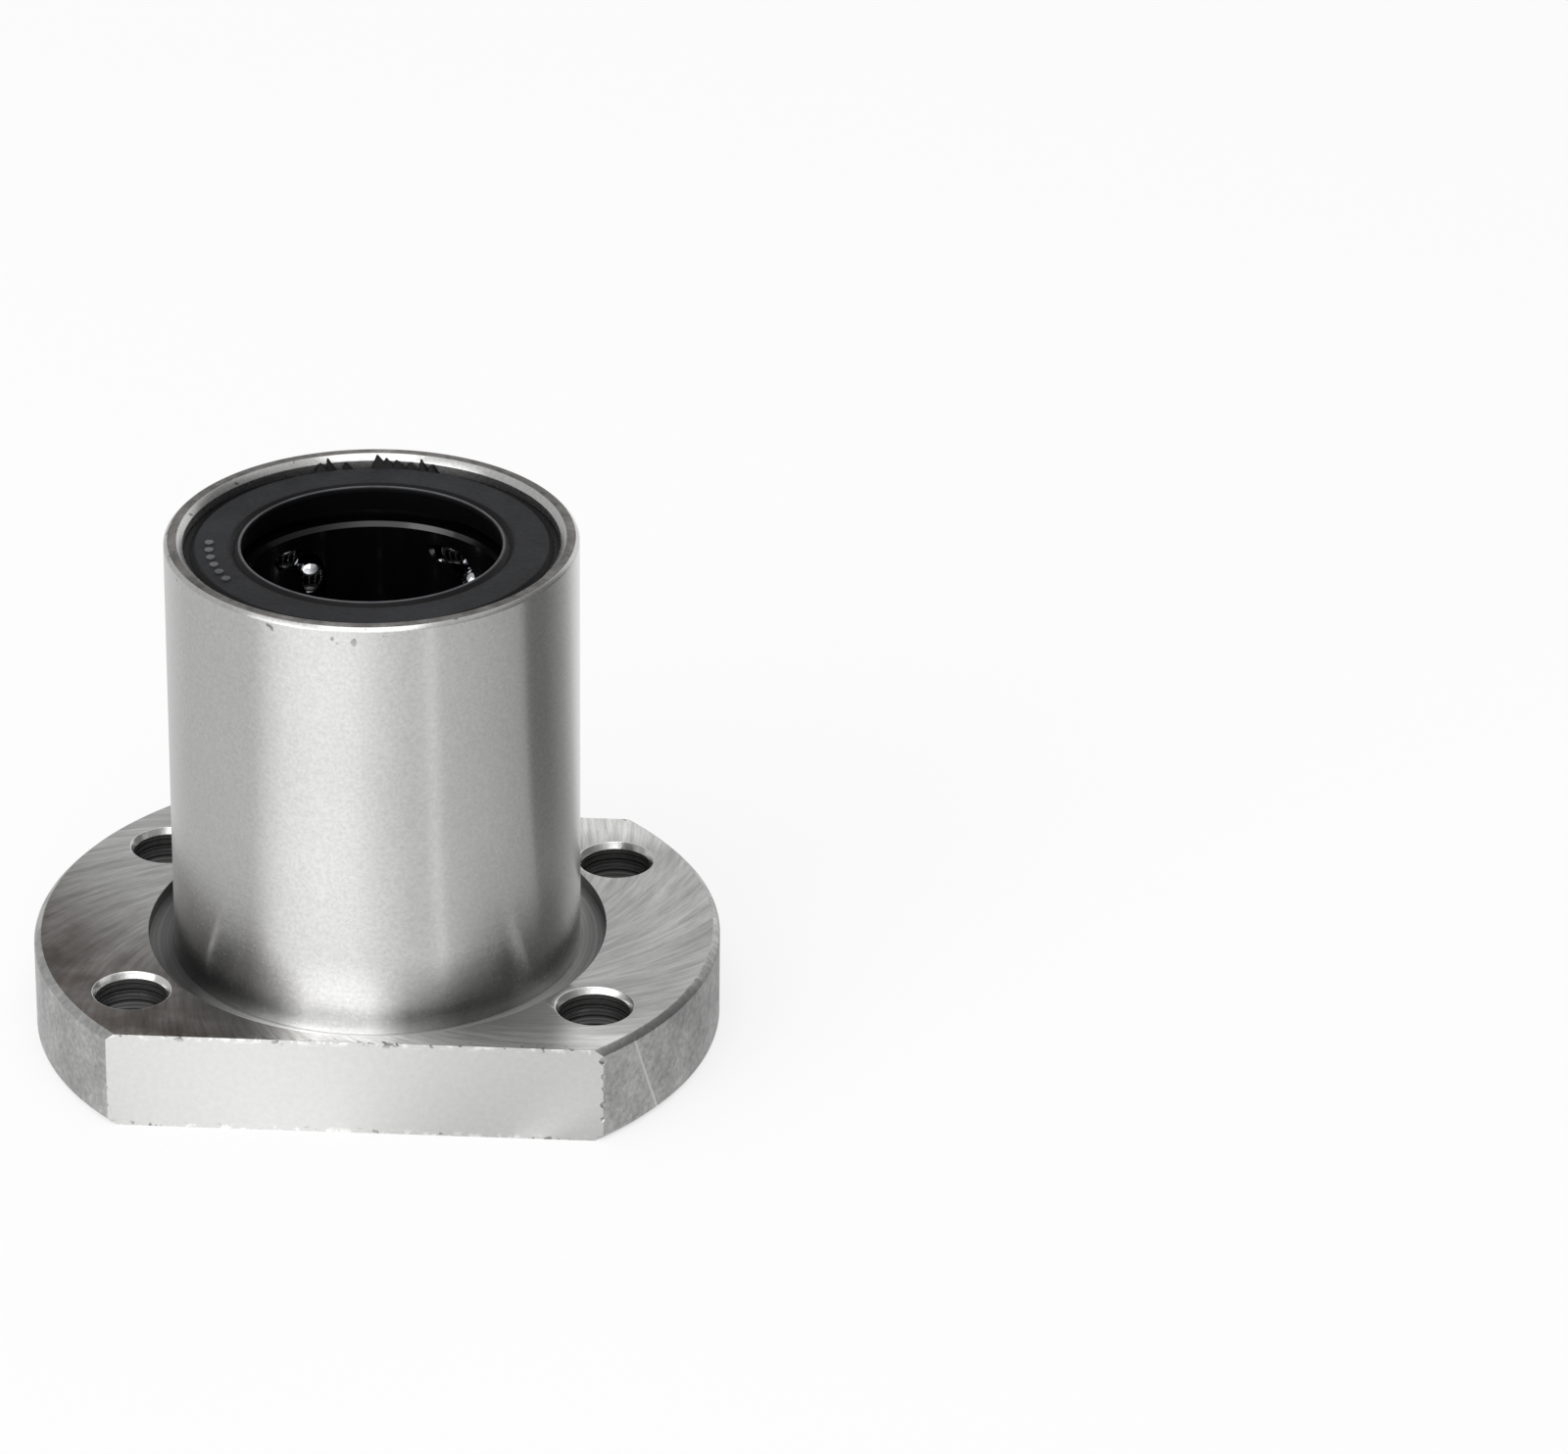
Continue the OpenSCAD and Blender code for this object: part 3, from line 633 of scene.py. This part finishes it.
class BUSHING_OT_flange(bpy.types.Operator):
    """Turns the flange, mills its two flats, and sinks its four bolt holes"""

    bl_idname = "bushing.flange"
    bl_label = "Flange"

    def execute(self, context):
        s = context.scene.bushing_sizes
        floor = s.flange_thickness - s.recess_depth
        flange = turned("flange_plate", [
            (s.seat_radius, 0.0),
            (s.flange_radius - s.flange_chamfer, 0.0),
            (s.flange_radius, s.flange_chamfer),
            (s.flange_radius, s.flange_thickness - s.flange_chamfer),
            (s.flange_radius - s.flange_chamfer, s.flange_thickness),
            (s.recess_radius, s.flange_thickness),
            (s.recess_radius, floor),
            (s.seat_radius, floor),
        ], 256)
        self.mill_flats(flange, s.flat_distance)
        drills = [self.hole_cutter(s, x, y) for x in (-HOLE_X, HOLE_X) for y in (-HOLE_Y, HOLE_Y)]
        join(drills[0], drills[1:])
        cut(flange, drills[0])
        merge_near(flange)
        round_edges(flange, s.edge_round)
        cut(flange, self.nicks(s))
        shade(flange)
        finish = context.scene.bushing_finishes
        put_in_place(flange, "flange", milled_flange_steel(finish.flange_steel))
        flange.data.materials.append(ground_flange_face(finish.flange_steel, finish.flange_stain))
        for face in flange.data.polygons:
            from_face = min(abs(face.center.z), abs(face.center.z - s.flange_thickness))
            if from_face < 1e-6 and abs(face.normal.z) > 0.99:
                face.material_index = 1
        return {"FINISHED"}

    def mill_flats(self, flange, distance):
        """Cuts the round flange off flat on both sides."""
        for side in (-1, 1):
            edit(flange)
            bpy.ops.mesh.bisect(plane_co=(0, side * distance, 0), plane_no=(0, side, 0), use_fill=True,
                                clear_outer=True, threshold=1e-7)
            leave_edit()

    def nicks(self, s):
        """Small angular solids along the edges of the flats, which knock nicks out of them. No two
        overlap, and the +X -Y corner has had the hardest knocks."""
        chance = random.Random(4)
        reach = math.sqrt(s.flange_radius ** 2 - s.flat_distance ** 2)
        places = []
        for side in (-1, 1):
            for height, outward in ((0, -1), (s.flange_thickness, 1)):
                for number in range(12):
                    share = (number + chance.uniform(0.2, 0.8)) / 12
                    x = (2 * share - 1) * (reach - 0.8 * MM)
                    places.append((x, side * s.flat_distance, height, 0, side, outward))
        for end in (-1, 1):
            for side in (-1, 1):
                for number in range(5 if end > 0 > side else 2):
                    height = (number + chance.uniform(1.4, 1.6)) / 6.2 * s.flange_thickness
                    places.append((end * reach, side * s.flat_distance, height, 0.35 * end, side, 0))
        places += [(reach + 0.3 * MM, -s.flat_distance, 0, 0.5, -1, -1),
                   (reach + 1.5 * MM, -17.9 * MM, 0, 1, -1, -1.4)]
        bits = []
        for x, y, z, out_x, out_y, out_z in places:
            size = chance.uniform(0.25, 0.5) * MM
            outward = Vector((out_x, out_y, out_z)).normalized()
            hard = 2.4 if x > reach - 1 * MM and y < 0 else 1.0
            spot = Vector((x, y, z)) + (size - hard * chance.uniform(0.4, 1.0) * s.nick_depth) * outward
            turn = [chance.uniform(0, math.pi) for _ in range(3)]
            bpy.ops.object.select_all(action="DESELECT")
            bpy.ops.mesh.primitive_ico_sphere_add(subdivisions=1, radius=size, location=spot, rotation=turn)
            bits.append(bpy.context.object)
        join(bits[0], bits[1:])
        settle(bits[0])
        return bits[0]

    def hole_cutter(self, s, x, y):
        """A solid in the shape of a counterbored and chamfered bolt hole."""
        past = 1 * MM
        flare = s.hole_chamfer * (s.hole_chamfer_depth + past) / s.hole_chamfer_depth
        cutter = turned("hole_cutter", [
            (s.counterbore_radius, -past),
            (s.counterbore_radius, s.counterbore_depth),
            (HOLE_R, s.counterbore_depth),
            (HOLE_R, s.flange_thickness - s.hole_chamfer_depth),
            (HOLE_R + flare, s.flange_thickness + past),
        ], 96, solid=True)
        cutter.location = (x, y, 0)
        settle(cutter)
        return cutter


class BUSHING_OT_seals(bpy.types.Operator):
    """Moulds the two lip seals, with their flash and pips"""

    bl_idname = "bushing.seals"
    bl_label = "Seals"

    def execute(self, context):
        s = context.scene.bushing_sizes
        front = self.rubber(s)
        round_edges(front, s.rubber_round)
        join(front, self.pips(s))
        rear = copy_of(front, "seal_rubber_rear")
        rear.matrix_world = Matrix.Translation((0, 0, s.sleeve_length)) @ Matrix.Rotation(math.pi, 4, "X")
        settle(rear)
        join(rear, self.flash(s))
        shade(front)
        shade(rear)
        finish = context.scene.bushing_finishes
        rubber = moulded_nitrile(finish.seal_rubber, finish.rubber_wear_and_sheen)
        put_in_place(front, "seal_front", rubber)
        put_in_place(rear, "seal_rear", rubber)
        return {"FINISHED"}

    def rubber(self, s):
        """The front seal: flat face, step round it, lip set apart by a groove, and a slot for the core."""
        face = s.seal_inset
        back = s.seal_inset + s.seal_thickness
        groove_r = LIP_R + s.lip_width
        step_r = s.bore_radius - s.step_width
        core_bore = groove_r + s.core_cover
        return turned("seal_rubber_front", [
            (LIP_R, face),
            (LIP_R + s.lip_bevel, face - s.lip_bevel),
            (groove_r, face + s.lip_groove),
            (groove_r + s.lip_groove, face),
            (step_r, face),
            (step_r + s.step_depth, face + s.step_depth),
            (RUBBER_R, face + s.step_depth),
            (RUBBER_R, CORE_LOW),
            (core_bore, CORE_LOW),
            (core_bore, CORE_HIGH),
            (RUBBER_R, CORE_HIGH),
            (RUBBER_R, back),
            (groove_r, back),
            (LIP_R + s.lip_bevel, face + s.lip_edge + s.lip_bevel),
            (LIP_R, face + s.lip_edge),
        ], 192)

    def pips(self, s):
        """Low round pips on the face, where the mould's air vents were."""
        made = []
        for angle in (147, 153, 159, 165, 171, 177):
            pip = turned("vent_pip", [(0.4 * MM, s.seal_inset), (0.34 * MM, s.seal_inset - 0.11 * MM),
                                      (0.2 * MM, s.seal_inset - 0.14 * MM)], 16, solid=True)
            pip.location = on_circle(PIP_CIRCLE_R, angle, 0)
            settle(pip)
            made.append(pip)
        return made

    def flash(self, s):
        """Torn tongues of mould flash that lean out over the sleeve's mouth."""
        made = []
        face = s.sleeve_length - s.seal_inset
        for angle, width, rise, lean in ((92.5, 1.0, 0.67, 0.8), (90, 0.9, 0.5, 0.62), (87, 1.0, 0.4, 0.5),
                                         (83, 0.8, 0.3, 0.35), (79, 0.5, 0.55, 0.7), (76, 0.6, 0.35, 0.4),
                                         (108, 0.5, 0.62, 0.75), (111, 0.9, 0.42, 0.5), (103, 0.6, 0.3, 0.35)):
            bpy.ops.object.select_all(action="DESELECT")
            bpy.ops.mesh.primitive_cone_add(vertices=5, radius1=width * MM, radius2=0.06 * MM,
                                            depth=(rise + 0.5) * MM, location=(0, 0, 0))
            tongue = bpy.context.object
            edit(tongue)
            bpy.ops.transform.resize(value=(1, 0.35, 1), center_override=(0, 0, 0))
            bpy.ops.mesh.select_all(action="DESELECT")
            leave_edit()
            for vertex in tongue.data.vertices:
                vertex.select = vertex.co.z > 0
            bpy.ops.object.mode_set(mode="EDIT")
            bpy.ops.transform.translate(value=(-0.5 * rise * MM, lean * MM, 0))
            leave_edit()
            tongue.rotation_euler.z = math.radians(angle - 90)
            tongue.location = on_circle(FLASH_CIRCLE_R, angle, face + (rise - 0.5) / 2 * MM)
            settle(tongue)
            made.append(tongue)
        return made


class BUSHING_OT_cage(bpy.types.Operator):
    """Gives the resin cage its finish"""

    bl_idname = "bushing.cage"
    bl_label = "Cage"

    def execute(self, context):
        finish_node("ball_cage", moulded_resin(context.scene.bushing_finishes.cage_resin))
        return {"FINISHED"}


class BUSHING_OT_balls(bpy.types.Operator):
    """Gives every ball its finish"""

    bl_idname = "bushing.balls"
    bl_label = "Balls"

    def execute(self, context):
        steel = polished_ball_steel(context.scene.bushing_finishes.ball_steel)
        for node in frame["nodes"]:
            if "balls" in node:
                finish_node(node, steel)
        return {"FINISHED"}


class BUSHING_OT_rings(bpy.types.Operator):
    """Gives the retaining rings and the seals' cores their finish"""

    bl_idname = "bushing.rings"
    bl_label = "Rings and cores"

    def execute(self, context):
        steel = oiled_spring_steel(context.scene.bushing_finishes.ring_steel)
        for node in frame["nodes"]:
            if node.startswith(("retaining_ring", "seal_core")):
                finish_node(node, steel)
        return {"FINISHED"}


# Brightness of the studio round the bushing, by compass angle from +X. WALLS is the room above the
# table: a window to the front left, grey walls, and a dark flag behind and to the right.
WALLS = [(0, 0.18), (40, 0.18), (52, 0.95), (84, 0.95), (92, 0.72), (104, 0.50), (118, 0.62), (196, 0.62),
         (209, 0.3), (223, 1.6), (280, 1.6), (304, 0.7), (326, 0.35), (345, 0.25)]
# TABLE is painted light and shade that the paper gives off to reflections only, its dark zones a painted shadow:
# the white table beyond the bushing's own shadow, as polished steel shows it.
TABLE = [(0, 0.52), (3, 0.22), (18, 0.22), (32, 0.36), (38, 0.46), (46, 0.62), (52, 0.86), (66, 1.05),
         (80, 1.1), (98, 0.74), (120, 0.85), (135, 0.80), (160, 0.71), (195, 0.78), (213, 0.80), (217, 0.98),
         (230, 1.26), (250, 1.42), (264, 1.38), (279, 1.05), (292, 0.86), (301, 0.86), (303, 1.06), (307, 1.06),
         (309, 0.80), (330, 0.70), (350, 0.58)]


def tone_round(tree, direction, tones):
    """Adds the nodes that turn a direction into one of the tones by its compass angle.
    Returns the tone and the parts of the direction."""
    parts = add(tree, "SeparateXYZ", {"Vector": direction}, out=None)
    angle = add(tree, "Math", (parts.outputs["Y"], parts.outputs["X"]), operation="ARCTAN2")
    turns = add(tree, "Math", (angle, 1 / (2 * math.pi), 1.0), operation="MULTIPLY_ADD")
    share = add(tree, "Math", (turns,), operation="FRACT")
    stops = [(degrees / 360, tone) for degrees, tone in tones + [(360, tones[0][1])]]
    return add(tree, "ValToRGB", {"Fac": share}, stops=stops, out="Color"), parts


class BUSHING_OT_stage(bpy.types.Operator):
    """Lays the paper, hangs the lamps, and stands the camera"""

    bl_idname = "bushing.stage"
    bl_label = "Stage"

    def execute(self, context):
        self.paper(context)
        self.studio(context)
        self.lamp("window", Vector((-0.45, -0.42, 0.42)), 1.1)
        self.lamp("ceiling", Vector((0.02, -0.25, 0.75)), 1.4)
        self.camera(context)
        context.scene.view_settings.view_transform = "Standard"
        return {"FINISHED"}

    def paper(self, context):
        """White paper that shows white to the eye and keeps the bushing's shadow. Steel sees it with
        the studio's light and dark sides on it."""
        bpy.ops.object.select_all(action="DESELECT")
        bpy.ops.mesh.primitive_plane_add(size=6.0, location=(0, 0, 0))
        floor = context.object
        floor.name = "paper"
        material = bpy.data.materials.new("matt_paper")
        material.use_nodes = True
        tree = material.node_tree
        shader = tree.nodes["Principled BSDF"]
        feed(shader, {"Base Color": context.scene.bushing_finishes.paper, "Roughness": 0.9,
                      "Specular IOR Level": 0.0})
        white = add(tree, "Emission", {"Color": (1, 1, 1, 1), "Strength": 1.0})
        place = add(tree, "TexCoord", out="Object")
        far, parts = tone_round(tree, place, TABLE)
        reach = add(tree, "VectorMath", (place,), operation="LENGTH", out="Value")
        beyond = add(tree, "MapRange", (reach, 36 * MM, 46 * MM))
        near = add(tree, "Math", (far, 0.55), operation="MAXIMUM")
        tone = add(tree, "Mix", {"Factor": beyond, "A": near, "B": far})
        # Little light reaches the paper under the flange.
        across = add(tree, "Math", (parts.outputs["Y"],), operation="ABSOLUTE")
        past_flat = add(tree, "MapRange", (across, FLAT_Y - 1.5 * MM, FLAT_Y - 0.2 * MM))
        past_rim = add(tree, "MapRange", (reach, FLANGE_R - 1.5 * MM, FLANGE_R - 0.2 * MM))
        clear = add(tree, "Math", (past_flat, past_rim), operation="MAXIMUM")
        dim = add(tree, "Math", (clear, 0.16), operation="MAXIMUM")
        tone = add(tree, "Math", (tone, dim), operation="MULTIPLY")
        reflected = add(tree, "Emission", {"Strength": tone})
        path = add(tree, "LightPath", out=None)
        lift = add(tree, "Math", (path.outputs["Is Camera Ray"], 0.75), operation="MULTIPLY")
        lift = add(tree, "Math", (lift, clear), operation="MULTIPLY")
        seen = add(tree, "MixShader", (lift, shader.outputs[0], white))
        either = add(tree, "Math", (path.outputs["Is Glossy Ray"], path.outputs["Is Transmission Ray"]),
                     operation="MAXIMUM")
        mix = add(tree, "MixShader", (either, seen, reflected))
        feed(tree.nodes["Material Output"], {"Surface": mix})
        floor.data.materials.append(material)

    def studio(self, context):
        """The room's walls under a pale ceiling; white where the camera looks."""
        world = bpy.data.worlds.new("studio")
        context.scene.world = world
        world.use_nodes = True
        tree = world.node_tree
        direction = add(tree, "TexCoord", out="Generated")
        wall, parts = tone_round(tree, direction, WALLS)
        high = add(tree, "MapRange", (parts.outputs["Z"], 0.62, 0.8))
        tone = add(tree, "Mix", {"Factor": high, "A": wall, "B": 0.75})
        seen = add(tree, "LightPath", out="Is Camera Ray")
        shown = add(tree, "Mix", {"Factor": seen, "A": tone, "B": 1.0})
        feed(tree.nodes["Background"], {"Color": shown})

    def lamp(self, name, place, watts):
        """Hangs a soft lamp, 0.5 m square, that faces the middle of the bushing."""
        light = bpy.data.lights.new(name, "AREA")
        light.shape = "SQUARE"
        light.size, light.energy = 0.5, watts
        holder = bpy.data.objects.new(name, light)
        holder.location = place
        holder.rotation_euler = (Vector((0, 0, 0.02)) - place).to_track_quat("-Z", "Y").to_euler()
        bpy.context.scene.collection.objects.link(holder)

    def camera(self, context):
        """Stands the camera a little to the right of the flats, 27 degrees up, 621 mm away."""
        turn, rise, roll = math.radians(2.583), math.radians(27.26), math.radians(0.655)
        back = Vector((math.sin(turn) * math.cos(rise), -math.cos(turn) * math.cos(rise), math.sin(rise)))
        level = (-back).cross(Vector((0, 0, 1))).normalized()
        upright = level.cross(-back)
        right = math.cos(roll) * level + math.sin(roll) * upright
        up = -math.sin(roll) * level + math.cos(roll) * upright
        place = 620.8 * MM * back + 32.127 * MM * right + 22.649 * MM * up
        data = bpy.data.cameras.new("camera")
        data.sensor_width, data.lens = 36.0, 179.64
        data.clip_start, data.clip_end = 0.01, 20.0
        camera = bpy.data.objects.new("camera", data)
        camera.matrix_world = Matrix.Translation(place) @ Matrix((right, up, back)).transposed().to_4x4()
        context.scene.collection.objects.link(camera)
        context.scene.camera = camera


class BUSHING_PT_panel(bpy.types.Panel):
    """Lists the steps, sizes and finishes"""

    bl_idname = "BUSHING_PT_panel"
    bl_label = "Linear ball bushing"
    bl_space_type = "VIEW_3D"
    bl_region_type = "UI"
    bl_category = "Bushing"

    def draw(self, context):
        column = self.layout.column()
        for operator in OPERATORS:
            column.operator(operator.bl_idname)
        for group in (context.scene.bushing_sizes, context.scene.bushing_finishes):
            box = self.layout.box().column()
            for name in group.__annotations__:
                box.prop(group, name)


OPERATORS = (BUSHING_OT_sleeve, BUSHING_OT_flange, BUSHING_OT_seals, BUSHING_OT_cage, BUSHING_OT_balls,
             BUSHING_OT_rings, BUSHING_OT_stage)
CLASSES = (BushingSizes, BushingFinishes, *OPERATORS, BUSHING_PT_panel)


def register():
    for cls in CLASSES:
        bpy.utils.register_class(cls)
    bpy.types.Scene.bushing_sizes = bpy.props.PointerProperty(type=BushingSizes)
    bpy.types.Scene.bushing_finishes = bpy.props.PointerProperty(type=BushingFinishes)


def unregister():
    del bpy.types.Scene.bushing_finishes
    del bpy.types.Scene.bushing_sizes
    for cls in reversed(CLASSES):
        bpy.utils.unregister_class(cls)


def main():
    """Builds the bushing and its stage."""
    register()
    bpy.ops.bushing.sleeve()
    bpy.ops.bushing.flange()
    bpy.ops.bushing.seals()
    bpy.ops.bushing.cage()
    bpy.ops.bushing.balls()
    bpy.ops.bushing.rings()
    bpy.ops.bushing.stage()


if __name__ == "__main__":
    main()
